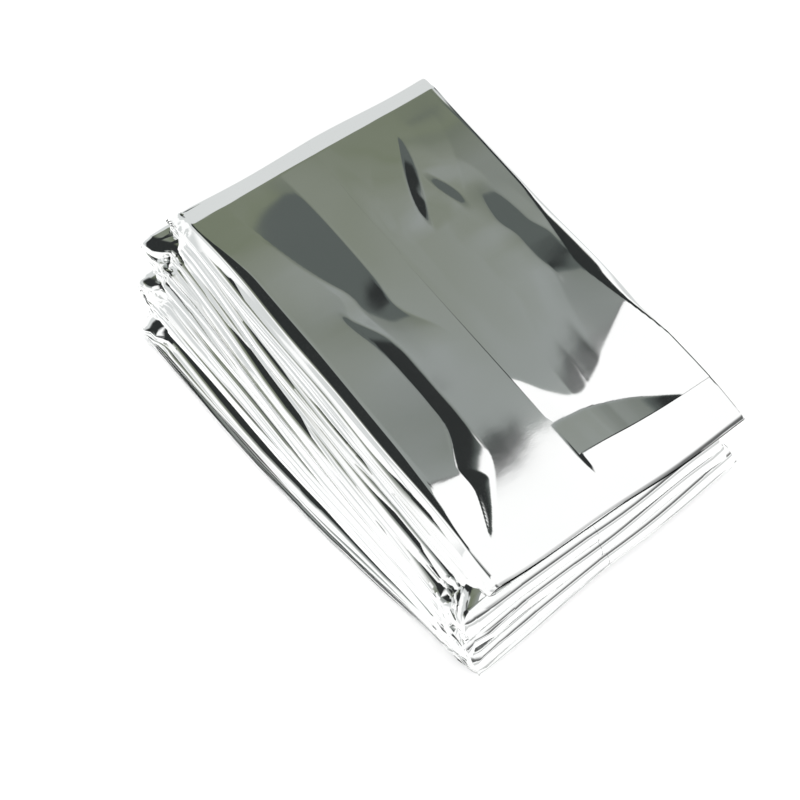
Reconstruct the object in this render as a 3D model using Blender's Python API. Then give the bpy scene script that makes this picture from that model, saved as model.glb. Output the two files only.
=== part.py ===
# Emergency foil blanket, folded for its pouch. One sheet of metallised film is folded lengthwise
# into a strip of many plies, and the strip runs back and forth in eight layers, a little apart.
# Metres, +Z up. +X is to the right and +Y to the back, along the long side of the pack.
# The origin lies under the middle of the pack, on the surface that it rests on.

import math
from collections import namedtuple

import bmesh
import bpy
from mathutils import Vector

MM = 0.001

# The sheet as it was cut, and the parts that its folds divide it into.
SHEET_LENGTH = 2100 * MM
SHEET_WIDTH = 1300 * MM
PARTS_ALONG = 16
PARTS_ACROSS = 16

# One layer of the pack is a bundle of plies with some air between them.
LAYERS = 8
LAYER_THICKNESS = 2.9 * MM
LAYER_GAP = 0.8 * MM

# The long edge of a bundle has two soft lips with a groove between them.
LIP_ROUNDING = 0.7 * MM
LIP_HEIGHT = 0.27
GROOVE_DEPTH = 1.1 * MM
EDGE_POINTS = 3

# The loose ends of the strip are pressed thinner over this length.
END_TAPER = 2.4 * MM
END_SHARES = [(0.0, 0.42), (0.35, 0.80), (1.0, 1.0)]

# Steps of the mesh.
COLUMNS = 15
EDGE_CROWDING = 0.76
STEPS_TOP = 22
STEPS_BELOW = 10
STEPS_ROUND = 6

# How far the crown of the top panel stands proud of the pack. Its relief fades with this power of
# the height, and its creases fade out near the panel's outline.
CROWN = 1.1 * MM
RELIEF_POWER = 3
CREASE_FADE = 3

# How unevenly the layers lie: a swell of this share of the height.
UNEVEN_SHARE = 0.022
UNEVEN_LENGTH = 96 * MM
UNEVEN_WIDTH = 70 * MM
UNEVEN_START = 0.8

# The noses of the turns ripple, and how far round a ripple starts goes with the turn's left end.
NOSE_WAVE = 0.35 * MM
NOSE_WAVES = 1.7
NOSE_START = 0.13

# The wave of the loose long edges: the shift between its lips, and its quicker second wave.
LIP_SHIFT = 1.3
SECOND_SIZE = 0.3
SECOND_RATE = 2.1
WAVE_FADE = 0.5

# Edges of the mesh that turn by more degrees than this are drawn sharp.
SHARP_ANGLE = 50

FOIL_COLOUR = (0.86, 0.87, 0.87, 1)
FOIL_ROUGHNESS = 0.12

half_width = SHEET_WIDTH / PARTS_ACROSS / 2
half_length = SHEET_LENGTH / PARTS_ALONG / 2
pitch = LAYER_THICKNESS + LAYER_GAP
bend_radius = pitch / 2
nose_radius = bend_radius + LAYER_THICKNESS / 2
height = LAYERS * LAYER_THICKNESS + (LAYERS - 1) * LAYER_GAP

# A row for each place where the strip ends or turns, from the loose end on top to the one below.
# Each value is how far, in mm, that place lies beyond the top panel's own outline: left and right
# are its two ends, nose_left and nose_right its foremost line there, and bow its middle.
Turn = namedtuple("Turn", "side left right nose_left nose_right bow")
TURNS = [
    Turn("front", 0.0, 0.0, 2.9, 2.5, 0.5),
    Turn("back", 2.0, 0.2, 5.0, 3.9, 0.2),
    Turn("front", 9.0, -7.4, 6.6, 3.6, 0.4),
    Turn("back", 10.2, -9.0, 9.7, 7.6, -0.6),
    Turn("front", 10.0, -4.2, 8.6, 3.4, 0.3),
    Turn("back", 16.0, -8.4, 3.8, 6.8, -0.4),
    Turn("front", 8.4, -0.4, 10.2, 3.6, 0.3),
    Turn("back", 21.0, -10.4, -4.4, 3.6, -0.5),
    Turn("front", 7.6, 2.8, 9.8, 1.8, -0.3),
]
SIDES = {"front": -1, "back": 1}

# Soft troughs and ridges of the top panel, in mm from its centre. long and wide are half sizes,
# turn is in degrees from the long side, and rise is negative for a trough.
Crease = namedtuple("Crease", "name x y long wide turn rise")
CREASES = [
    Crease("left hollow", -17.0, 30.0, 24.0, 8.0, 4.0, -0.9),
    Crease("left ridge", -26.0, 4.0, 30.0, 6.0, 2.0, 0.5),
    Crease("long fold", -15.0, -14.0, 18.0, 5.0, 0.0, -0.7),
    Crease("front dimple", -18.0, -38.0, 8.0, 9.0, 30.0, -1.2),
    Crease("back pleat", 17.0, 41.0, 14.0, 5.0, -22.0, -0.8),
    Crease("right hollow", 32.0, 8.0, 17.0, 6.0, 0.0, -1.0),
    Crease("right ridge", 22.0, 20.0, 22.0, 8.0, 8.0, 0.6),
    Crease("front ridge", 12.0, -46.0, 6.0, 20.0, 0.0, 0.7),
]

# Each loose long edge bellies out and waves by this much in mm, a row for each layer from the top.
# turns is the number of waves along the edge, and start is where the first one begins.
Edge = namedtuple("Edge", "belly left right turns start")
EDGES = [
    Edge(0.3, 0.4, 0.5, 1.0, 0.2),
    Edge(0.8, 0.7, 0.7, 1.3, 1.1),
    Edge(1.2, 0.6, 0.8, 1.1, 2.6),
    Edge(0.6, 0.8, 0.6, 1.5, 0.4),
    Edge(1.0, 0.7, 0.7, 1.4, 1.9),
    Edge(0.6, 0.8, 0.8, 1.0, 3.0),
    Edge(2.2, 0.7, 0.6, 1.5, 0.9),
    Edge(2.8, 0.6, 0.7, 1.2, 2.2),
]


def mix(a, b, share):
    return a + (b - a) * share


def clear_scene():
    for obj in list(bpy.data.objects):
        bpy.data.objects.remove(obj)


def turn_line(turn, share, setback):
    # The point of a turn at this share of the pack's width, that far behind its nose.
    side = SIDES[turn.side]
    reach = mix(turn.nose_left, turn.nose_right, share) + turn.bow * math.sin(math.pi * share)
    ripple = NOSE_WAVE * math.sin(2 * math.pi * (NOSE_WAVES * share + NOSE_START * turn.left))
    left = -half_width - turn.left * MM
    right = half_width + turn.right * MM
    return Vector((mix(left, right, share), side * (half_length + reach * MM + ripple - setback), 0))


def layer_level(layer):
    return height - LAYER_THICKNESS / 2 - layer * pitch


def setback_of(index):
    return 0.0 if index in (0, LAYERS) else nose_radius


def edge_wander(layer, share, along, lip):
    # How far the loose long edges wander, the upper and lower lips apart from each other.
    edge = EDGES[layer]
    phase = edge.start + 2 * math.pi * edge.turns * along + LIP_SHIFT * lip
    swing = math.sin(phase) + SECOND_SIZE * math.sin(SECOND_RATE * phase)
    size = edge.left if share < 0.5 else edge.right
    outward = 2 * share - 1
    fade = math.sin(math.pi * along)
    reach = size * swing * fade ** WAVE_FADE + edge.belly * fade
    return reach * MM * outward * abs(outward)


def column_shares():
    # The columns lie closer together towards the long edges.
    swing = EDGE_CROWDING * math.pi / 2
    angles = [mix(-swing, swing, i / (COLUMNS - 1)) for i in range(COLUMNS)]
    return [0.5 + 0.5 * math.sin(angle) / math.sin(swing) for angle in angles]


def section_points():
    # The outline of the strip's section: share of the width, inset from the edge and share of
    # the thickness, for each of its points.
    shares = column_shares()
    insets = [LIP_ROUNDING] + [0.0] * (COLUMNS - 2) + [-LIP_ROUNDING]
    top = [(s, inset, 0.5) for s, inset in zip(shares, insets)]
    lower = [(s, inset, -0.5) for s, inset, _ in reversed(top)]
    right = [(1.0, 0.0, LIP_HEIGHT), (1.0, -GROOVE_DEPTH, 0.0), (1.0, 0.0, -LIP_HEIGHT)]
    left = [(0.0, 0.0, -LIP_HEIGHT), (0.0, GROOVE_DEPTH, 0.0), (0.0, 0.0, LIP_HEIGHT)]
    return top + right + lower + left


def flat_ring(layer, along, squeeze):
    # One ring of the section on a flat layer. The strip turns over at each turn.
    start, end = TURNS[layer], TURNS[layer + 1]
    up = 1 if layer % 2 == 0 else -1
    ring = []
    for share, inset, rise in section_points():
        first = turn_line(start, share, setback_of(layer))
        last = turn_line(end, share, setback_of(layer + 1))
        point = first.lerp(last, along)
        point.x += inset + edge_wander(layer, share, along, rise)
        point.z = layer_level(layer) + up * rise * squeeze * LAYER_THICKNESS
        ring.append(point)
    return ring


def round_ring(index, angle):
    # One ring of the section in the turn between two layers, at this angle round the bend.
    turn = TURNS[index]
    side = SIDES[turn.side]
    level = (layer_level(index - 1) + layer_level(index)) / 2
    ring = []
    for share, inset, rise in section_points():
        radius = bend_radius + side * rise * LAYER_THICKNESS
        point = turn_line(turn, share, nose_radius)
        point.x += inset
        point.y += side * radius * math.sin(angle)
        point.z = level + radius * math.cos(angle)
        ring.append(point)
    return ring


def layer_rings(layer):
    steps = STEPS_TOP if layer == 0 else STEPS_BELOW
    taper = END_TAPER / (2 * half_length)
    shares = [(i / steps, 1.0) for i in range(steps + 1)]
    if layer == 0:
        shares = [(taper * at, squeeze) for at, squeeze in END_SHARES] + shares[1:]
    if layer == LAYERS - 1:
        shares = shares[:-1] + [(1 - taper * at, squeeze) for at, squeeze in reversed(END_SHARES)]
    return [flat_ring(layer, along, squeeze) for along, squeeze in shares]


def strip_rings():
    rings = []
    for layer in range(LAYERS):
        if layer:
            angles = [math.pi * i / STEPS_ROUND for i in range(1, STEPS_ROUND)]
            rings += [round_ring(layer, angle) for angle in angles]
        rings += layer_rings(layer)
    return rings


def panel_relief(x, y):
    # The height that the crown and the creases add to the top panel.
    edge = max(0.0, 1 - (x / half_width) ** 2) * max(0.0, 1 - (y / half_length) ** 2)
    rise = CROWN * edge
    for crease in CREASES:
        turn = math.radians(crease.turn)
        dx, dy = x - crease.x * MM, y - crease.y * MM
        across = (dx * math.cos(turn) + dy * math.sin(turn)) / (crease.wide * MM)
        along = (dy * math.cos(turn) - dx * math.sin(turn)) / (crease.long * MM)
        rise += crease.rise * MM * math.exp(-(across ** 2) - along ** 2) * min(1.0, CREASE_FADE * edge)
    return rise


def settle(point):
    # The relief fades through the layers, so that they keep apart and the pack rests flat.
    share = max(0.0, min(1.0, point.z / height))
    along = 2 * math.pi * point.y / UNEVEN_LENGTH + UNEVEN_START
    across = 2 * math.pi * point.x / UNEVEN_WIDTH
    swell = UNEVEN_SHARE * math.sin(along) * math.cos(across) * point.z
    point.z += panel_relief(point.x, point.y) * share ** RELIEF_POWER + swell
    return point


def cap_faces(verts, flip):
    # The end of the strip, closed between its upper and lower rows.
    count = len(verts)
    top = list(range(COLUMNS))
    lower = [2 * COLUMNS + EDGE_POINTS - 1 - i for i in range(COLUMNS)]
    faces = [(top[i], top[i + 1], lower[i + 1], lower[i]) for i in range(COLUMNS - 1)]
    right = [COLUMNS + i for i in range(EDGE_POINTS)]
    left = [count - 1 - i for i in range(EDGE_POINTS)]
    for row, upper, under, turned in ((right, top[-1], lower[-1], False), (left, top[0], lower[0], True)):
        lip, groove, low_lip = row
        wedge = [(upper, lip, groove), (upper, groove, under), (groove, low_lip, under)]
        faces += [tuple(reversed(face)) for face in wedge] if turned else wedge
    return [[verts[i] for i in (reversed(face) if flip else face)] for face in faces]


def blanket_mesh(name):
    bm = bmesh.new()
    rings = [[bm.verts.new(settle(point)) for point in ring] for ring in strip_rings()]
    for near, far in zip(rings, rings[1:]):
        for i, vert in enumerate(near):
            after = (i + 1) % len(near)
            bm.faces.new((vert, near[after], far[after], far[i]))
    for face in cap_faces(rings[0], True) + cap_faces(rings[-1], False):
        bm.faces.new(face)
    bmesh.ops.recalc_face_normals(bm, faces=bm.faces)
    centre_on_base(bm)
    mesh = bpy.data.meshes.new(name)
    bm.to_mesh(mesh)
    bm.free()
    mesh.shade_smooth()
    mesh.set_sharp_from_angle(angle=math.radians(SHARP_ANGLE))
    return mesh


def centre_on_base(bm):
    low = Vector([min(vert.co[axis] for vert in bm.verts) for axis in range(3)])
    high = Vector([max(vert.co[axis] for vert in bm.verts) for axis in range(3)])
    middle = (low + high) / 2
    bmesh.ops.translate(bm, verts=bm.verts, vec=(-middle.x, -middle.y, -low.z))


def foil_material():
    material = bpy.data.materials.new("silver_film")
    material.use_nodes = True
    shader = material.node_tree.nodes["Principled BSDF"]
    shader.inputs["Base Color"].default_value = FOIL_COLOUR
    shader.inputs["Metallic"].default_value = 1.0
    shader.inputs["Roughness"].default_value = FOIL_ROUGHNESS
    return material


def foil_blanket():
    mesh = blanket_mesh("foil_blanket")
    mesh.materials.append(foil_material())
    blanket = bpy.data.objects.new("foil_blanket", mesh)
    bpy.context.scene.collection.objects.link(blanket)


clear_scene()
foil_blanket()
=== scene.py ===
import math

import bmesh
import bpy
import numpy as np
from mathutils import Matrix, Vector, noise


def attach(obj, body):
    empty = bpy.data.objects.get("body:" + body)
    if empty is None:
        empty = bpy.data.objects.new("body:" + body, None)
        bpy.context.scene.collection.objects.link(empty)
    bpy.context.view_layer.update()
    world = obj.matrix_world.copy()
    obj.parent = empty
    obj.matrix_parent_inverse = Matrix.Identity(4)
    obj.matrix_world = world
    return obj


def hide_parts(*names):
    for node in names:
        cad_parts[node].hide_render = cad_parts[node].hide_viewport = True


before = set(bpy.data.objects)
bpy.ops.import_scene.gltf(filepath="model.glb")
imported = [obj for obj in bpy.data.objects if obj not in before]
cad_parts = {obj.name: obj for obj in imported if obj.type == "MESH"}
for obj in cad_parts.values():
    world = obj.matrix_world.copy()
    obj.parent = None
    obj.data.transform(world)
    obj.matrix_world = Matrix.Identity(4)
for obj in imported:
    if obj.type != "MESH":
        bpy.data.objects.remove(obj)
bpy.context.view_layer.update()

mm = 0.001
softSteps = (-2.4, -1.2, 0.0, 1.2, 2.4)      # a table's corners are rounded over these places, in mm
print("frame loaded")


# The pack: how the strip runs back and forth, as in the part's source. Lengths in mm.
pack = {
    "sheetWidth": 1300.0, "sheetLength": 2100.0,
    "partsAcross": 16, "partsAlong": 16,
    "layers": 8, "thickness": 2.9, "gap": 0.8,
    "centre": (9.10, 0.19),          # the top panel's centre in the row frame
    "noseWave": 0.35, "noseTurns": 1.7, "noseShift": 0.13,
    "unevenShare": 0.022, "unevenLength": 96.0, "unevenWidth": 70.0, "unevenStart": 0.8,
    "taper": 2.4, "taperShares": [0.0, 0.35, 1.0], "taperSizes": [0.42, 0.80, 1.0],
}
# side of the pack, then how far each turn lies beyond the top panel: left, right, nose at both ends, bow
turns = [
    (-1, 0.0, 0.0, 2.9, 2.5, 0.5),
    (1, 2.0, 0.2, 6.8, 6.2, 0.2),
    (-1, 9.0, -7.4, 6.6, 3.6, 0.4),
    (1, 10.2, -9.0, 9.7, 7.6, -0.6),
    (-1, 10.0, -4.2, 8.6, 3.4, 0.3),
    (1, 16.0, -8.4, 3.8, 6.8, -0.4),
    (-1, 8.4, -0.4, 10.2, 3.6, 0.3),
    (1, 21.0, -10.4, -4.4, 3.6, -0.5),
    (-1, 7.6, 2.8, 9.8, 1.8, -0.3),
]
# the long edges of each layer: belly, left and right swing, waves along the edge, where they start
edges = [
    (0.3, 0.4, 0.5, 1.0, 0.2),
    (0.8, 0.7, 0.7, 1.3, 1.1),
    (1.2, 0.6, 0.8, 1.1, 2.6),
    (0.6, 0.8, 0.6, 1.5, 0.4),
    (1.0, 0.7, 0.7, 1.4, 1.9),
    (0.6, 0.8, 0.8, 1.0, 3.0),
    (2.2, 0.7, 0.6, 1.5, 0.9),
    (2.8, 0.6, 0.7, 1.2, 2.2),
]
halfWidth = pack["sheetWidth"] / pack["partsAcross"] / 2
halfLength = pack["sheetLength"] / pack["partsAlong"] / 2
pitch = pack["thickness"] + pack["gap"]
bendRadius = pitch / 2
noseRadius = bendRadius + pack["thickness"] / 2
packHeight = pack["layers"] * pack["thickness"] + (pack["layers"] - 1) * pack["gap"]

# The bundle: which of the 16 parts of the sheet lies at which level of the upper half of a layer
bundle = {
    "order": [0, 15, 8, 7, 4, 11, 12, 3, 2, 13, 10, 5, 6, 9, 14, 1],
    # depth of each level at the left edge, as shares of half a layer, and which row each layer takes
    "leftPlaces": [
        [0.00, 0.03, 0.14, 0.18, 0.34, 0.37, 0.40, 0.43, 0.62, 0.66, 0.70, 0.74, 0.77, 0.80, 0.83, 0.87],
        [0.00, 0.03, 0.06, 0.30, 0.33, 0.36, 0.39, 0.42, 0.46, 0.50, 0.55, 0.60, 0.66, 0.72, 0.78, 0.84],
        [0.00, 0.03, 0.05, 0.08, 0.12, 0.18, 0.24, 0.30, 0.52, 0.56, 0.60, 0.64, 0.68, 0.72, 0.76, 0.80]],
    "leftRows": [0, 2, 1, 2, 0, 1, 2, 0],
    # the left edges bend down, gently at first: slopes by height in mm
    "droopReach": 2.6, "droopOuter": 0.8, "droopLow": 8.0,
    "innerSlopes": [(0, 0.50), (26.6, 0.50), (27.4, 0.75), (30, 0.75)],
    "outerSlopes": [(0, 0.95), (2.6, 0.95), (3.4, 0.50), (4.2, 0.95), (6.0, 0.95), (6.8, 0.50), (7.6, 0.95), (9.2, 0.95),
                    (10.2, 0.50), (11.2, 0.95), (13.4, 0.92), (14.2, 0.50), (15.0, 0.92), (16.0, 0.90), (16.6, 0.50),
                    (17.2, 0.95), (18.6, 0.95), (19.2, 0.52), (19.8, 0.95), (20.8, 0.95), (21.5, 0.45), (22.2, 0.95),
                    (24.0, 0.92), (24.6, 0.50), (25.2, 0.92), (26.6, 0.95), (27.4, 0.80), (30, 0.80)],
    "leftSwell": 1.06, "rightSwell": 1.10,      # the long edges are looser than the middle
    "leftStagger": [0.0, -0.2, 0.1, 0.1, -0.05, -0.05, -0.05, -0.05] + [0.12] * 8,
    "bandSwing": 0.16, "bandShift": 1.9, "layerSwing": 0.4,
    "stepAbove": 0.42, "stepBelow": 0.37, "stepFade": 7.0,      # how the left edges lean out from layer to layer
    "loosePower": 6, "wanderPower": 0.5, "bandsBelow": 6,
    "sinkTop": 1.7, "sinkReach": 5.0,           # the inner plies keep clear of the top panel's creases
}
levelOf = {part: level for level, part in enumerate(bundle["order"])}


def mix(a, b, share):
    return a + (b - a) * share


def smooth(value, start, end):
    share = np.clip((value - start) / (end - start), 0.0, 1.0)
    return share * share * (3 - 2 * share)


def turnLine(index, share, setback):
    side, left, right, noseLeft, noseRight, bow = turns[index]
    reach = mix(noseLeft, noseRight, share) + bow * np.sin(math.pi * share)
    ripple = pack["noseWave"] * np.sin(2 * math.pi * (pack["noseTurns"] * share + pack["noseShift"] * left))
    return mix(-halfWidth - left, halfWidth + right, share), side * (halfLength + reach + ripple - setback)


def layerLevel(layer):
    return packHeight - pack["thickness"] / 2 - layer * pitch


def setbackOf(index):
    return 0.0 if index in (0, pack["layers"]) else noseRadius


# Columns run across the sheet: (part, share of the width, from level, to level, angle round the edge)
def partColumns(part, shares):
    level = levelOf[part]
    shares = [s for s in shares if part or s >= 0.5]
    return [(part, share, level, level, 0.0) for share in (reversed(shares) if part % 2 else shares)]


def evenly(count, start=0.0):
    return [mix(start, 1.0, i / (count - 1)) for i in range(count)]


def edgeColumns(part, count):
    # The fold between this part and the next one: an arc at the right edge for even parts, else at the left
    share = 0.0 if part % 2 else 1.0
    angles = [math.pi * (i + 1) / (count + 1) for i in range(count)]
    return [(part + 0.5, share, levelOf[part], levelOf[part + 1], angle) for angle in angles]


def sheetColumns(counts, arcs):
    columns = []
    for part in range(pack["partsAcross"]):
        columns += partColumns(part, counts.get(part, counts["others"]))
        if part < pack["partsAcross"] - 1:
            columns += edgeColumns(part, arcs.get(part, arcs["others"]))
    return columns


# Rows run along the strip: (place, index, value, pass), where a layer's value is the share along it, a turn's
# is its angle, and the pass is 1 on the way down and -1 on the way back
def layerRows(layer, count, endCount=0, endReach=0.09, way=1):
    places = [i / (endCount or 1) * endReach for i in range(endCount)]
    places += [mix(endReach, 1 - endReach, i / (count - 1)) if endCount else i / (count - 1) for i in range(count)]
    places += [1 - p for p in reversed(places[:endCount])]
    return [("layer", layer, p, way) for p in places]


def turnRows(index, count, way=1):
    return [("turn", index, math.pi * (i + 1) / (count + 1), way) for i in range(count)]


def stripRows(layerCount, cornerCount, turnCount, endCount):
    down = []
    for layer in range(pack["layers"]):
        down += turnRows(layer, turnCount) if layer else []
        down += layerRows(layer, layerCount, cornerCount)
    back = [(place, index, value, -1) for place, index, value, way in reversed(down)]
    last = [("end", pack["layers"], math.pi * (i + 1) / (endCount + 1), 1) for i in range(endCount)]
    return down + last + back


def offsetAt(layer, level, share):
    # How far a level lies above the layer's middle, in mm
    half = pack["thickness"] / 2
    left = 1 - np.interp(level, range(16), bundle["leftPlaces"][bundle["leftRows"][layer]])
    right = 1 - (level + 0.5) / 16.5
    swell = mix(bundle["leftSwell"], bundle["rightSwell"], share)
    loose = np.abs(2 * share - 1) ** bundle["loosePower"]
    return half * mix(left, right, share) * mix(1.0, swell, loose)


def edgeWander(layer, share, along, band):
    belly, left, right, waves, start = edges[layer]
    left, right = left * bundle["layerSwing"], right * bundle["layerSwing"]
    phase = start + 2 * math.pi * waves * along + 0.35 * band
    swing = np.sin(phase) + 0.3 * np.sin(2.1 * phase)
    quick = np.sin(2 * math.pi * (2.3 + 0.37 * np.mod(band * 1.7, 3)) * along + bundle["bandShift"] * band + layer)
    size = np.where(share < 0.5, left, right)
    outward = 2 * share - 1
    fade = np.sin(math.pi * along) ** bundle["wanderPower"]
    return (size * swing * fade + bundle["bandSwing"] * quick * fade + belly * fade ** 2) * outward * np.abs(outward)


def leftOf(layer, back):
    # How far a layer's left edge lies beyond the top panel's, at this share of the way to the back
    layer = min(max(layer, 0), pack["layers"] - 1)
    atFront, atBack = (layer, layer + 1) if layer % 2 == 0 else (layer + 1, layer)
    return mix(turns[atFront][1], turns[atBack][1], back)


def leanOut(layer, back, z):
    # The left edges of the plies lie on one slanting face, with a small step between the layers
    heights, values = [], []
    half = pack["thickness"] / 2 * bundle["leftSwell"]
    for k in range(pack["layers"] - 1, -1, -1):
        below = mix(leftOf(k, back), leftOf(k + 1, back), bundle["stepBelow"])
        above = mix(leftOf(k - 1, back), leftOf(k, back), bundle["stepAbove"])
        heights += [layerLevel(k) - half, layerLevel(k) + half]
        values += [below, above]
    return np.interp(z, heights, values) - leftOf(layer, back)


print("folds planned")


# The top panel: a low plateau with rounded shoulders, and its creases. Lengths in mm from the panel's centre.
panel = {
    "rise": 0.12, "backDrop": 1.0,
    "backFade": [(38.0, 1.0), (44.0, 0.93), (50.0, 0.75), (56.0, 0.53), (62.0, 0.29), (68.0, 0.06), (70.0, 0.0)],
    "leftLine": [(-66, -38.8), (-59, -38.6), (-45, -36.9), (-26, -36.1), (10, -35.9), (40, -36.5), (55, -38.6),
                 (65, -40.7)],
    "leftWide": 3.5, "curves": (0.2, 0.5, 0.0, 0.3),      # how each shoulder steepens: left, right, back, front
    "rightLine": [(-66, 41.5), (-40, 41.4), (-33, 40.4), (-20, 37.6), (-8, 35.6), (2, 36.6), (12, 38.2), (22, 39.4), (65, 39.8)],
    "rightEnd": 42.2,
    "backLine": 64.4, "backEnd": 71.0, "frontLine": -57.0, "frontEnd": -69.0,
}
# Each crease falls away to its right. A row for each place along it: y, x of its left side, how wide the fall
# is, how deep it is; "bend" is below 0 where the fall is steepest at first
leftCreases = {
    "left hollow": {"bend": 0.25, "rows": [
        (66, -30.0, 18.6, 1.90), (54, -28.5, 18.0, 1.95),
        (50, -28.0, 17.7, 1.88), (44, -26.8, 16.6, 1.72), (36, -25.0, 14.9, 1.48), (28, -22.4, 12.3, 1.24),
        (20, -18.9, 8.7, 0.92), (14, -19.2, 8.2, 0.84), (10, -18.8, 8.0, 0.66), (6, -18.0, 9.0, 0.50),
        (0, -17.2, 12.0, 0.36), (-8, -16.4, 14.0, 0.20), (-16, -16.0, 15.0, 0.05), (-20, -16.0, 16.0, 0.0)]},
    "long streak": {"bend": -0.3, "rows": [
        (16, -25.0, 1.2, 0.0), (12, -24.4, 2.4, 0.22), (8, -23.6, 3.4, 0.40), (5, -22.8, 4.2, 0.52), (-2, -21.9, 4.5, 0.64),
        (-14, -21.6, 4.4, 0.64), (-25, -21.6, 4.4, 0.66), (-30, -23.2, 5.8, 0.80), (-35, -26.2, 8.6, 1.02),
        (-39, -27.6, 9.6, 1.08), (-43, -27.0, 6.8, 0.80), (-48, -28.4, 4.4, 0.56), (-54, -31.0, 3.0, 0.38),
        (-58, -32.9, 1.6, 0.10), (-60, -33.4, 1.2, 0.0)]},
}
# The fall across the left half: y, height of its left side, how deep it is in all, where its gentle part ends
leftFall = [(66, 0.0, 1.96, -30.0), (58, 0.0, 1.98, -28.9), (50, 0.0, 1.92, -28.0), (44, 0.0, 1.77, -27.0),
            (36, 0.0, 1.60, -25.0), (28, 0.0, 1.50, -23.0), (20, 0.0, 1.45, -21.0),
            (13, 0.0, 1.42, -23.8), (0, 0.0, 1.40, -22.2), (-25, 0.0, 1.38, -21.8), (-35, 0.0, 1.38, -26.4),
            (-39, 0.0, 1.39, -27.6), (-42, -0.08, 1.39, -21.0), (-46, -0.22, 1.39, -22.5), (-52, -0.50, 1.38, -26.0),
            (-60, -0.90, 1.36, -31.0), (-70, -1.20, 1.34, -34.0)]
fallStart, riseStart, riseEnd = -35.5, -14.0, 27.0
# On the right half each crease comes back over "before" and "back" mm on its two sides
rightCreases = {
    "slit": {"bend": -0.2, "before": 10.0, "back": 12.0, "rows": [
        (55, 21.8, 0.8, 0.0), (51, 19.6, 2.0, 0.30), (47, 17.4, 3.4, 0.56), (41, 14.5, 4.3, 0.72),
        (35, 12.2, 4.0, 0.68), (31, 11.3, 3.0, 0.48), (26, 10.9, 1.0, 0.0)]},
    "small slit": {"bend": 0.0, "before": 5.0, "back": 9.0, "rows": [
        (41.5, 19.2, 1.6, 0.0), (37, 19.5, 3.0, 0.34), (33, 20.1, 3.6, 0.46), (29.5, 21.2, 3.0, 0.34), (25.5, 22.2, 1.4, 0.0)]},
    "right hollow": {"bend": 0.0, "before": 12.0, "back": 4.0, "rows": [
        (28, 28.6, 3.0, 0.0), (21, 27.0, 6.0, 0.32), (15, 26.2, 7.4, 0.52), (10.5, 28.2, 5.4, 0.36), (7, 27.9, 8.0, 0.58),
        (0, 27.7, 8.4, 0.62), (-5, 28.8, 7.0, 0.52), (-9, 28.0, 10.0, 0.38), (-14, 26.0, 14.0, 0.27),
        (-22, 24.0, 16.0, 0.14), (-40, 22.0, 18.0, 0.0)]},
    "front cup": {"bend": 0.2, "before": 2.0, "back": 12.0, "rows": [
        (0, 10.4, 6.0, 0.0), (-20, 10.2, 6.0, 0.07), (-33, 9.4, 6.2, 0.14), (-38, 9.2, 5.5, 0.14), (-50, 9.8, 5.0, 0.12),
        (-66, 10.0, 5.0, 0.10)]},
}
# The half-wide ply on top of it, which ends before the front and curls up there
flap = {
    "start": [(0.50, 0.1195), (0.90, 0.1030), (1.00, 0.1000)],     # share of the width, share of the length
    "lift": 0.02, "curl": 2.7, "edgeDrop": 0.09, "edgeReach": 6.0, "crest": 0.20,
    "end": [(0.0, -52.4), (41.0, -55.0)], "endFade": 11.0, "under": 0.85, "underFade": (8.0, 32.0),
    "valley": [(0.0, -41.5), (9.5, -42.7), (20.7, -47.2), (33.4, -55.0), (45.0, -57.0)],
    "slopeFrom": [(0.0, -22.0), (3.0, -31.5), (9.5, -40.5), (16.0, -38.0), (24.0, -33.0), (37.0, -24.5), (42.0, -22.0)],
    "slope": 1.6, "slopeLoss": 0.35, "slopeSteps": (-1.2, -0.4, 0.4, 1.2),
}


def softRows(rows, at, column):
    # A column of a table read at these places, its corners rounded over a few mm
    rows = sorted(rows)
    places, values = [row[0] for row in rows], [row[column] for row in rows]
    return sum(np.interp(at + step, places, values) for step in softSteps) / len(softSteps)


def creaseFall(x, y, crease):
    # Where a crease starts, its width and depth at this y, and how much of it has fallen at this x
    left, wide, deep = (softRows(crease["rows"], y, column) for column in (1, 2, 3))
    share = np.clip((x - left) / wide, 0.0, 1.0)
    return left, wide, deep, mix(share, share ** 2, crease["bend"])


def creaseRelief(x, y):
    leftLevel, whole, restEnd = (softRows(leftFall, y, column) for column in (1, 2, 3))
    relief, used = leftLevel, 0
    for crease in leftCreases.values():
        left, wide, deep, fallen = creaseFall(x, y, crease)
        relief, used = relief - deep * fallen, used + deep
    rest = np.maximum(whole + leftLevel - used, 0)
    relief = relief - rest * np.clip((x - fallStart) / (restEnd - fallStart), 0, 1)
    relief = relief + whole * (1 + smooth(x, riseStart, riseEnd))
    for crease in rightCreases.values():
        left, wide, deep, fallen = creaseFall(x, y, crease)
        back = np.clip((x - left + crease["before"]) / (wide + crease["before"] + crease["back"]), 0, 1)
        relief = relief - deep * fallen + deep * back
    return relief


def panelRelief(x, y):
    left = np.clip((softRows(panel["leftLine"], y, 1) - x) / panel["leftWide"], 0, 1)
    rightLine = softRows(panel["rightLine"], y, 1)
    right = np.clip((x - rightLine) / (panel["rightEnd"] - rightLine), 0, 1)
    back = np.clip((y - panel["backLine"]) / (panel["backEnd"] - panel["backLine"]), 0, 1)
    front = np.clip((panel["frontLine"] - y) / (panel["frontLine"] - panel["frontEnd"]), 0, 1)
    falls = [mix(q, q ** 2, curve) for q, curve in zip((left, right, back, front), panel["curves"])]
    inside = (1 - falls[0]) * (1 - falls[1]) * (1 - falls[3])
    relief = panel["rise"] + creaseRelief(x, y) * softRows(panel["backFade"], y, 1)
    return inside * relief - panel["backDrop"] * falls[2]


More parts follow.
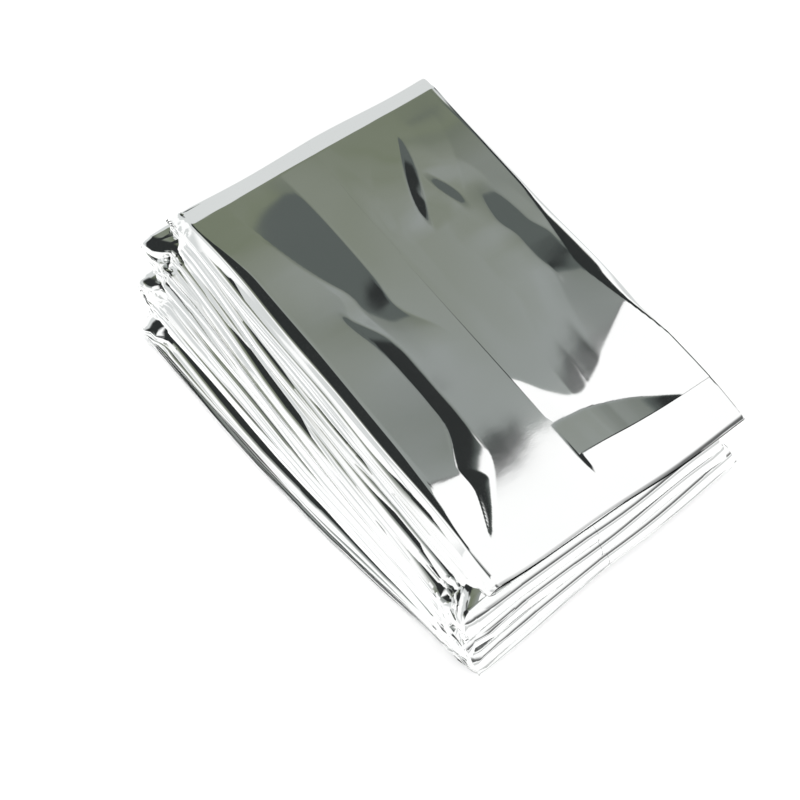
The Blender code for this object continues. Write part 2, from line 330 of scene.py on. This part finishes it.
def flapRelief(x, y, upper):
    # The flap curls up at its end and falls towards a valley before it; the ply under it makes room
    valley = softRows(flap["valley"], x, 1)
    slopeFrom = softRows(flap["slopeFrom"], x, 1)
    end = np.interp(x, *zip(*flap["end"]))
    curl, slope = math.tan(math.radians(flap["curl"])), math.tan(math.radians(flap["slope"]))
    steps = flap["slopeSteps"]
    way = sum(np.clip(slopeFrom - np.maximum(y + step, valley), 0, None) for step in steps) / len(steps)
    down = slope * way * (1 - flap["slopeLoss"] * way / np.maximum(slopeFrom - valley, 1.0))
    crest = flap["crest"] * smooth(-y, -25.0, 20.0)
    if not upper:
        # it swells up to the flap's curled end, so that no wide gap opens there
        under = curl * np.clip(valley - np.maximum(y, end), 0, None) * (1 - smooth(end - y, 0.0, flap["endFade"]))
        under = under * smooth(x, -0.4, 0.5) * (1 - smooth(x, *flap["underFade"]))
        return flap["under"] * under - np.clip(down - crest, 0, None) * smooth(x, 0.0, 8.0)
    edge = flap["edgeDrop"] * (1 - smooth(x, 0.0, flap["edgeReach"])) * smooth(y, -25.0, 5.0)
    return flap["lift"] + crest + curl * np.clip(valley - y, 0, None) - down - edge


# Crumpled corners: centre in mm from the panel's centre and over the floor, reach, size of the crumples
crumples = [
    {"at": (-46.0, -68.0, 17.0), "reach": (9.0, 13.0, 13.0), "size": 2.1},
    {"at": (-46.0, -66.0, 5.0), "reach": (9.0, 12.0, 9.0), "size": 1.8},
    {"at": (-44.0, 69.0, 23.0), "reach": (8.0, 10.0, 7.0), "size": 1.6},
    {"at": (-52.0, 67.0, 15.0), "reach": (9.0, 11.0, 8.0), "size": 1.9},
    {"at": (-60.0, 62.0, 5.0), "reach": (9.0, 13.0, 8.0), "size": 1.7},
    {"at": (40.0, -72.0, 14.0), "reach": (7.0, 8.0, 12.0), "size": 1.6},
    {"at": (36.0, 72.0, 14.0), "reach": (7.0, 8.0, 12.0), "size": 1.2},
]
crumpleScales = [(0.22, 1.0), (0.55, 0.55), (1.1, 0.25)]      # crumples per mm, share of the size
crumpleSeed = 7
noise.seed_set(crumpleSeed)      # without a seed, the vector noise differs from run to run


def crumpled(points):
    # points is an array of x, y, z in mm
    for crumple in crumples:
        away = (points - np.array(crumple["at"])) / np.array(crumple["reach"])
        weight = np.clip(1.6 * (1.1 - np.sqrt((away ** 2).sum(1))), 0, 1)
        for i in np.flatnonzero(weight > 0.01):
            shift = Vector((0, 0, 0))
            for scale, share in crumpleScales:
                step = noise.noise_vector(Vector(points[i]) * scale)
                shift += share * Vector([abs(v) - 0.25 for v in step])      # sharp where it passes zero
            points[i] += crumple["size"] * weight[i] * np.array(shift)
    return points


def filmPoints(columns, rows, fine, start=None):
    # The place of every grid point of the film, in mm from the top panel's centre
    part, share, fromLevel, toLevel, angle = (np.array(v, float) for v in zip(*columns))
    offsets, bulges = [], []
    for layer in range(pack["layers"]):
        upper, lower = offsetAt(layer, fromLevel, share), offsetAt(layer, toLevel, share)
        offsets.append((upper + lower) / 2 + (upper - lower) / 2 * np.cos(angle))
        bulges.append(np.abs(upper - lower) / 2 * np.sin(angle) * np.where(share > 0.5, 1, -1))
    band = np.where(share > 0.5, 3.0, np.floor(np.interp(toLevel, [0, 1, 2, 4, 8, 15], [0, 1, 2, 3, 4, 4]) + 0.01))
    stagger = np.interp(fromLevel, range(16), bundle["leftStagger"]) * np.where(share < 0.5, (1 - 2 * share) ** 2, 0)
    points = []
    for place, index, value, way in rows:
        side = turns[index][0]
        bandHere = band + (bundle["bandsBelow"] if way < 0 else 0)
        turned = value / math.pi if place == "turn" else 1.0
        layer = min(index, pack["layers"] - 1)
        before = max(index - 1, 0) if place == "turn" else layer
        offset = mix(offsets[before], offsets[layer], turned)
        bulge = mix(bulges[before], bulges[layer], turned)
        if place == "layer":
            along = np.full(len(columns), value)
            if start is not None:
                along = mix(start(share), 1.0, along)
            x0, y0 = turnLine(index, share, setbackOf(index))
            x1, y1 = turnLine(index + 1, share, setbackOf(index + 1))
            x = mix(x0, x1, along) + edgeWander(index, share, along, bandHere) + bulge
            x = x - stagger * np.sin(math.pi * along) ** bundle["wanderPower"]
            y = mix(y0, y1, along)
            up = 1 if index % 2 == 0 else -1
            # the strip's two ends are thinner
            fromEnd = 2 * halfLength * np.minimum(along if index == 0 else 1.0,
                                                  1 - along if index == pack["layers"] - 1 else 1.0)
            squeeze = np.interp(fromEnd, pack["taper"] * np.array(pack["taperShares"]), pack["taperSizes"])
            lift = offset * way * squeeze
            if index == 0 and not fine:
                inner = np.where((bulge == 0) & ~((part == 0) & (way < 0)), 1.0, 0.0)
                clear = smooth(np.minimum(share, 1 - share) * 2 * halfWidth, 0.5, bundle["sinkReach"])
                clear = clear * smooth(along * 2 * halfLength, 1.0, bundle["sinkReach"])
                clear = clear * smooth((1 - along) * 2 * halfLength, 0.0, 3.0)
                lift = lift - bundle["sinkTop"] * inner * clear * (lift + pack["thickness"] / 2) / pack["thickness"]
            z = layerLevel(index) + up * lift
            backShare = value if up > 0 else 1 - value
            nearEdge = np.where(share < 0.5, (1 - 2 * share) ** 2, 0)
            endFade = smooth(2 * halfLength * min(value, 1 - value), 1.0, bundle["stepFade"])
            x = x - leanOut(index, backShare, z) * nearEdge * endFade
        elif place == "turn":
            radius = bendRadius + side * offset * way
            x, y = turnLine(index, share, noseRadius)
            x = x + bulge
            y = y + side * radius * math.sin(value)
            z = (layerLevel(index - 1) + layerLevel(index)) / 2 + radius * math.cos(value)
        else:
            up = 1 if (index - 1) % 2 == 0 else -1
            squeeze = pack["taperSizes"][0]
            x, y = turnLine(index, share, 0.0)
            x = x + bulge
            y = y + side * offset * squeeze * math.sin(value)
            z = layerLevel(index - 1) + up * offset * squeeze * math.cos(value)
        # the left edges bend down
        fromEdge = share * 2 * halfWidth + np.minimum(bulge, 0) * (share < 0.5)
        inner = np.clip(bundle["droopReach"] - np.maximum(fromEdge, bundle["droopOuter"]), 0, None)
        outer = np.clip(bundle["droopOuter"] - fromEdge, 0, None)
        droop = np.interp(z, *zip(*bundle["innerSlopes"])) * inner + np.interp(z, *zip(*bundle["outerSlopes"])) * outer
        z = z - droop * smooth(z, 0.3, bundle["droopLow"])
        points.append(np.stack([x, y, z], 1))
    points = np.array(points)
    x, y, z = points[..., 0], points[..., 1], points[..., 2]
    level = np.clip(z / packHeight, 0, 1.02)
    swell = pack["unevenShare"] * np.sin(2 * math.pi * y / pack["unevenLength"] + pack["unevenStart"])
    swell = swell * np.cos(2 * math.pi * x / pack["unevenWidth"]) * z * (1 - smooth(level, 0.86, 0.97))
    relief = panelRelief(x, y)
    relief = relief + flapRelief(x, y, fine == "flap")
    points[..., 2] = z + swell + relief * level ** 3
    points = crumpled(points.reshape(-1, 3))
    points[:, 2] = np.maximum(points[:, 2], 0.05)
    return points


def layFilm(name, columns, rows, fine=None, start=None, cutOut=None):
    bm = bmesh.new()
    bmesh.ops.create_grid(bm, x_segments=len(columns) - 1, y_segments=len(rows) - 1, size=0.5)
    points = filmPoints(columns, rows, fine, start)
    points[:, 0] += pack["centre"][0]
    points[:, 1] += pack["centre"][1]
    for vert, point in zip(bm.verts, points * mm):
        vert.co = point
    if cutOut:
        wide = len(columns)
        gone = [f for f in bm.faces if all(cutOut(columns[v.index % wide], rows[v.index // wide]) for v in f.verts)]
        bmesh.ops.delete(bm, geom=gone, context="FACES")
    # the film's own place on the flat sheet, in metres, is its UV
    grid = points.reshape(len(rows), len(columns), 3) * mm
    across = np.append(0, np.cumsum(np.linalg.norm(np.diff(grid[len(rows) // 8], axis=0), axis=1)))
    down = np.append(0, np.cumsum(np.linalg.norm(np.diff(grid[:, len(columns) // 2], axis=0), axis=1)))
    bm.verts.index_update()
    uv = bm.loops.layers.uv.new("sheet")
    for face in bm.faces:
        face.smooth = True
        for loop in face.loops:
            loop[uv].uv = (across[loop.vert.index % len(columns)], down[loop.vert.index // len(columns)])
    mesh = bpy.data.meshes.new(name)
    bm.to_mesh(mesh)
    bm.free()
    piece = bpy.data.objects.new(name, mesh)
    bpy.context.scene.collection.objects.link(piece)
    return piece


def newMaterial(name):
    material = bpy.data.materials.new(name)
    material.use_nodes = True
    return material, material.node_tree, material.node_tree.nodes["Principled BSDF"]


def addNode(tree, kind, **settings):
    node = tree.nodes.new(kind)
    for key, value in settings.items():
        if key in node.inputs:
            if isinstance(value, bpy.types.NodeSocket):
                tree.links.new(value, node.inputs[key])
            else:
                node.inputs[key].default_value = value
        else:
            setattr(node, key, value)
    return node


foil = {
    "light": (0.90, 0.905, 0.90, 1), "dull": (0.84, 0.85, 0.845, 1),
    "roughLow": 0.03, "roughHigh": 0.065,
    "grainScale": 2600.0, "grainBump": 0.007, "puckerScale": 190.0, "puckerBump": 0.006,
    "cloudScale": 28.0, "smearScale": 70.0,
}


def foilMaterial():
    material, tree, shader = newMaterial("silverFilm")
    coords = addNode(tree, "ShaderNodeTexCoord").outputs["Object"]
    cloud = addNode(tree, "ShaderNodeTexNoise", Vector=coords, Scale=foil["cloudScale"], Detail=3.0)
    tint = addNode(tree, "ShaderNodeValToRGB", Fac=cloud.outputs["Fac"])
    tint.color_ramp.elements[0].color = foil["dull"]
    tint.color_ramp.elements[1].color = foil["light"]
    tree.links.new(tint.outputs["Color"], shader.inputs["Base Color"])
    smear = addNode(tree, "ShaderNodeTexNoise", Vector=coords, Scale=foil["smearScale"], Detail=4.0)
    rough = addNode(tree, "ShaderNodeMapRange", Value=smear.outputs["Fac"])
    rough.inputs["To Min"].default_value = foil["roughLow"]
    rough.inputs["To Max"].default_value = foil["roughHigh"]
    tree.links.new(rough.outputs["Result"], shader.inputs["Roughness"])
    grain = addNode(tree, "ShaderNodeTexNoise", Vector=coords, Scale=foil["grainScale"], Detail=2.0)
    grainBump = addNode(tree, "ShaderNodeBump", Height=grain.outputs["Fac"], Strength=foil["grainBump"], Distance=0.0001)
    pucker = addNode(tree, "ShaderNodeTexNoise", Vector=coords, Scale=foil["puckerScale"], Detail=2.0)
    bump = addNode(tree, "ShaderNodeBump", Height=pucker.outputs["Fac"], Strength=foil["puckerBump"], Distance=0.0005,
                   Normal=grainBump.outputs["Normal"])
    tree.links.new(bump.outputs["Normal"], shader.inputs["Normal"])
    shader.inputs["Metallic"].default_value = 1.0
    return material


silverFilm = foilMaterial()

# The sheet itself. Its parts 0 and 15 are what shows on top and below, so they have the most columns.
film = {
    "columns": {0: evenly(11, 0.5), 15: [0.0, 0.0095, 0.032] + evenly(16, 0.09),
                "others": [0.0, 0.0095, 0.032, 0.2, 0.5, 0.83, 1.0]},
    "arcs": {0: 8, 14: 7, "others": 4},
    "layerCount": 12, "cornerCount": 7, "turnCount": 6, "endCount": 5,
}
sheetColumnList = sheetColumns(film["columns"], film["arcs"])
sheetRowList = stripRows(film["layerCount"], film["cornerCount"], film["turnCount"], film["endCount"])


def underTop(column, row):
    # the two top plies are made finer as pieces of their own
    place, index, value, way = row
    return column[0] in (0, 15) and way > 0 and (index == 0 or place == "turn" and index == 1)


foilSheet = layFilm("foilSheet", sheetColumnList, sheetRowList, cutOut=underTop)
print("sheet folded:", len(foilSheet.data.polygons), "faces")

topSettings = {"columns": 165, "arc": 8, "rows": 262, "turn": 18, "below": 8}
flapSettings = {"columns": 84, "arc": 10, "rows": 236, "turn": 18, "below": 8}


def topRows(settings):
    below = layerRows(1, 40)[:settings["below"]]
    return layerRows(0, settings["rows"]) + turnRows(1, settings["turn"]) + below


topPly = layFilm("topPly", edgeColumns(14, topSettings["arc"]) + partColumns(15, evenly(topSettings["columns"])),
                 topRows(topSettings), fine="top")
flapPly = layFilm("flapPly", partColumns(0, evenly(flapSettings["columns"], 0.5)) + edgeColumns(0, flapSettings["arc"]),
                  topRows(flapSettings), fine="flap",
                  start=lambda share: np.interp(share, [p[0] for p in flap["start"]], [p[1] for p in flap["start"]]))
print("top plies laid:", len(topPly.data.polygons), len(flapPly.data.polygons), "faces")

for piece in (foilSheet, topPly, flapPly):
    piece.data.materials.append(silverFilm)
    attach(piece, "root")
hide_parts("foil_blanket")


# Floor, camera and light
stage = {
    "floorSize": 6.0, "floorColour": (0.93, 0.93, 0.93, 1),
    "cameraAt": (-0.16771, -0.21907, 0.45705), "azimuth": -0.62845, "elevation": 1.03332, "lens": 88.36,
}


def makeFloor():
    bm = bmesh.new()
    bmesh.ops.create_grid(bm, x_segments=1, y_segments=1, size=stage["floorSize"] / 2)
    mesh = bpy.data.meshes.new("floor")
    bm.to_mesh(mesh)
    bm.free()
    floor = bpy.data.objects.new("floor", mesh)
    bpy.context.scene.collection.objects.link(floor)
    material, tree, shader = newMaterial("palePaper")
    shader.inputs["Base Color"].default_value = stage["floorColour"]
    shader.inputs["Roughness"].default_value = 0.9
    shader.inputs["Specular IOR Level"].default_value = 0.0
    mesh.materials.append(material)


def makeCamera():
    data = bpy.data.cameras.new("camera")
    camera = bpy.data.objects.new("camera", data)
    bpy.context.scene.collection.objects.link(camera)
    camera.location = stage["cameraAt"]
    camera.rotation_euler = (math.pi / 2 - stage["elevation"], 0, stage["azimuth"])
    data.lens = stage["lens"]
    data.sensor_width = 36
    data.clip_start = 0.01
    bpy.context.scene.camera = camera


# The room that the foil mirrors, by direction: a ray's x and y over its z
room = {
    "white": (1.15, 1.15, 1.15, 1), "pale": (0.76, 0.78, 0.78, 1), "daylight": (1.6, 1.6, 1.6, 1),
    "olive": (0.192, 0.218, 0.158, 1), "sage": (0.245, 0.268, 0.225, 1), "mist": (0.325, 0.350, 0.340, 1),
    "slate": (0.108, 0.124, 0.118, 1), "charcoal": (0.028, 0.031, 0.031, 1),
    "toneSpan": (0.78, 0.43), "toneSpread": 0.55, "toneScale": 14.0,
    "screensFrom": (0.1, 0.3), "paleFrom": (0.26, 0.36), "paleBack": (0.90, 0.97), "frontTo": (-0.55, -0.35),
    "lowest": 0.05,
}
# Soft-edged screens in it. Each side fades between two values, and a slant shifts a side by (start, rate) along the
# other axis. "lowLeft" shifts the left side where the ray runs nearer than its start
screens = [
    {"colour": "tone", "left": (-1.3, -0.9), "near": (0.413, 0.419), "nearSlant": (0.36, 0.22), "far": (0.94, 1.02),
     "distance": (1.35, 1.6)},
    {"colour": "slate", "share": 0.35, "left": (0.38, 0.52), "near": (0.42, 0.45), "far": (0.72, 0.80), "distance": (1.2, 1.5)},
    {"colour": "charcoal", "share": 0.85, "left": (0.318, 0.350), "right": (0.385, 0.395), "near": (0.403, 0.410),
     "far": (0.419, 0.431), "farSlant": (0.355, 0.35)},
    {"colour": "charcoal", "share": 0.85, "left": (0.370, 0.385), "right": (0.49, 0.52), "near": (0.406, 0.411),
     "nearSlant": (0.36, 0.22), "far": (0.416, 0.421), "farSlant": (0.36, 0.22)},
    {"colour": "slate", "left": (0.515, 0.545), "lowLeft": (0.54, 0.5), "near": (-0.05, 0.0), "nearSlant": (0.6, 1.1),
     "far": (0.86, 0.92), "farSlant": (0.72, 0.50), "distance": (2.3, 3.2)},
    {"colour": "charcoal", "left": (0.54, 0.59), "leftSlant": (0.52, 1.1), "lowLeft": (0.54, 0.5), "near": (-0.05, 0.0),
     "nearSlant": (0.6, 1.1), "far": (0.86, 0.92), "farSlant": (0.72, 0.50), "distance": (2.3, 3.2)},
    {"colour": "charcoal", "left": (-0.86, -0.74), "right": (-0.12, 0.0), "near": (0.15, 0.28), "far": (0.95, 1.3)},
]
# Low bands at the front, by height: colour, share, lower edge, upper edge
frontBands = [("slate", 0.4, (0.06, 0.16), (0.26, 0.40)), ("charcoal", 0.9, (0.44, 0.46), (0.56, 0.84))]


def makeRoom():
    world = bpy.data.worlds.new("room")
    bpy.context.scene.world = world
    world.use_nodes = True
    tree = world.node_tree
    tree.nodes.clear()

    def maths(operation, *values):
        node = tree.nodes.new("ShaderNodeMath")
        node.operation = operation
        for socket, value in zip(node.inputs, values):
            if isinstance(value, bpy.types.NodeSocket):
                tree.links.new(value, socket)
            else:
                socket.default_value = value
        return node.outputs[0]

    def ramp(value, start, end):
        node = addNode(tree, "ShaderNodeMapRange", interpolation_type="SMOOTHSTEP", Value=value)
        node.inputs["From Min"].default_value = start
        node.inputs["From Max"].default_value = end
        return node.outputs["Result"]

    def fallRamp(value, start, end):
        return maths("SUBTRACT", 1.0, ramp(value, start, end))

    def bent(value, start, rate):
        return maths("MULTIPLY", maths("MAXIMUM", maths("SUBTRACT", value, start), 0.0), rate)

    def blend(share, a, b):
        node = tree.nodes.new("ShaderNodeMix")
        node.data_type = "RGBA"
        for name, value in (("Factor", share), ("A", a), ("B", b)):
            kind = "VALUE" if name == "Factor" else "RGBA"
            socket = next(s for s in node.inputs if s.name == name and s.type == kind)
            if isinstance(value, bpy.types.NodeSocket):
                tree.links.new(value, socket)
            else:
                socket.default_value = value
        return next(s for s in node.outputs if s.type == "RGBA")

    direction = tree.nodes.new("ShaderNodeTexCoord").outputs["Generated"]
    parts = addNode(tree, "ShaderNodeSeparateXYZ", Vector=direction)
    up = maths("MAXIMUM", parts.outputs["Z"], room["lowest"])
    gx = maths("DIVIDE", parts.outputs["X"], up)
    gy = maths("DIVIDE", parts.outputs["Y"], up)
    distance = maths("SQRT", maths("ADD", maths("MULTIPLY", gx, gx), maths("MULTIPLY", gy, gy)))
    above = ramp(parts.outputs["Z"], *room["screensFrom"])

    # grey-green at the back, olive higher up and paler towards the ray straight up
    clouds = addNode(tree, "ShaderNodeTexNoise", Vector=direction, Scale=room["toneScale"], Detail=2.0)
    drift = maths("MULTIPLY", maths("SUBTRACT", clouds.outputs["Fac"], 0.5), room["toneSpread"])
    level = addNode(tree, "ShaderNodeMapRange", Value=gy)
    level.inputs["From Min"].default_value, level.inputs["From Max"].default_value = room["toneSpan"]
    tones = addNode(tree, "ShaderNodeValToRGB", Fac=maths("ADD", level.outputs["Result"], drift))
    tones.color_ramp.elements[0].color = room["olive"]
    tones.color_ramp.elements[1].color = room["mist"]
    tones.color_ramp.elements.new(0.5).color = room["sage"]

    far = maths("MULTIPLY", ramp(parts.outputs["Z"], *room["paleFrom"]), ramp(gy, *room["paleBack"]))
    colour = blend(far, room["white"], room["pale"])
    atFront = fallRamp(parts.outputs["Y"], *room["frontTo"])
    for name, share, lowEdge, highEdge in frontBands:
        band = maths("MULTIPLY", ramp(parts.outputs["Z"], *lowEdge), fallRamp(parts.outputs["Z"], *highEdge))
        colour = blend(maths("MULTIPLY", maths("MULTIPLY", band, atFront), share), colour, room[name])
    for screen in screens:
        inner = maths("SUBTRACT", gx, bent(gy, *screen.get("leftSlant", (1.0, 0.0))))
        if "lowLeft" in screen:
            low, rate = screen["lowLeft"]
            inner = maths("SUBTRACT", inner, bent(maths("SUBTRACT", 0.0, gy), -low, rate))
        start, rate = screen.get("nearSlant", (0.0, 0.0))
        near = maths("SUBTRACT", gy, maths("MULTIPLY", maths("SUBTRACT", gx, start), rate))
        outer = maths("SUBTRACT", gy, bent(gx, *screen.get("farSlant", (1.0, 0.0))))
        share = maths("MULTIPLY", above, screen.get("share", 1.0))
        for value, side, shape in ((inner, "left", ramp), (gx, "right", fallRamp), (near, "near", ramp),
                                   (outer, "far", fallRamp), (distance, "distance", fallRamp)):
            if side in screen:
                share = maths("MULTIPLY", share, shape(value, *screen[side]))
        colour = blend(share, colour, tones.outputs["Color"] if screen["colour"] == "tone" else room[screen["colour"]])

    # only mirrors see the screens; everything else is lit by the plain pale room
    mirrored = tree.nodes.new("ShaderNodeLightPath").outputs["Is Glossy Ray"]
    colour = blend(mirrored, room["daylight"], colour)
    light = addNode(tree, "ShaderNodeBackground", Color=colour)
    out = tree.nodes.new("ShaderNodeOutputWorld")
    tree.links.new(light.outputs[0], out.inputs["Surface"])


makeFloor()
makeCamera()
makeRoom()
bpy.context.scene.view_settings.view_transform = "Standard"
print("stage set")
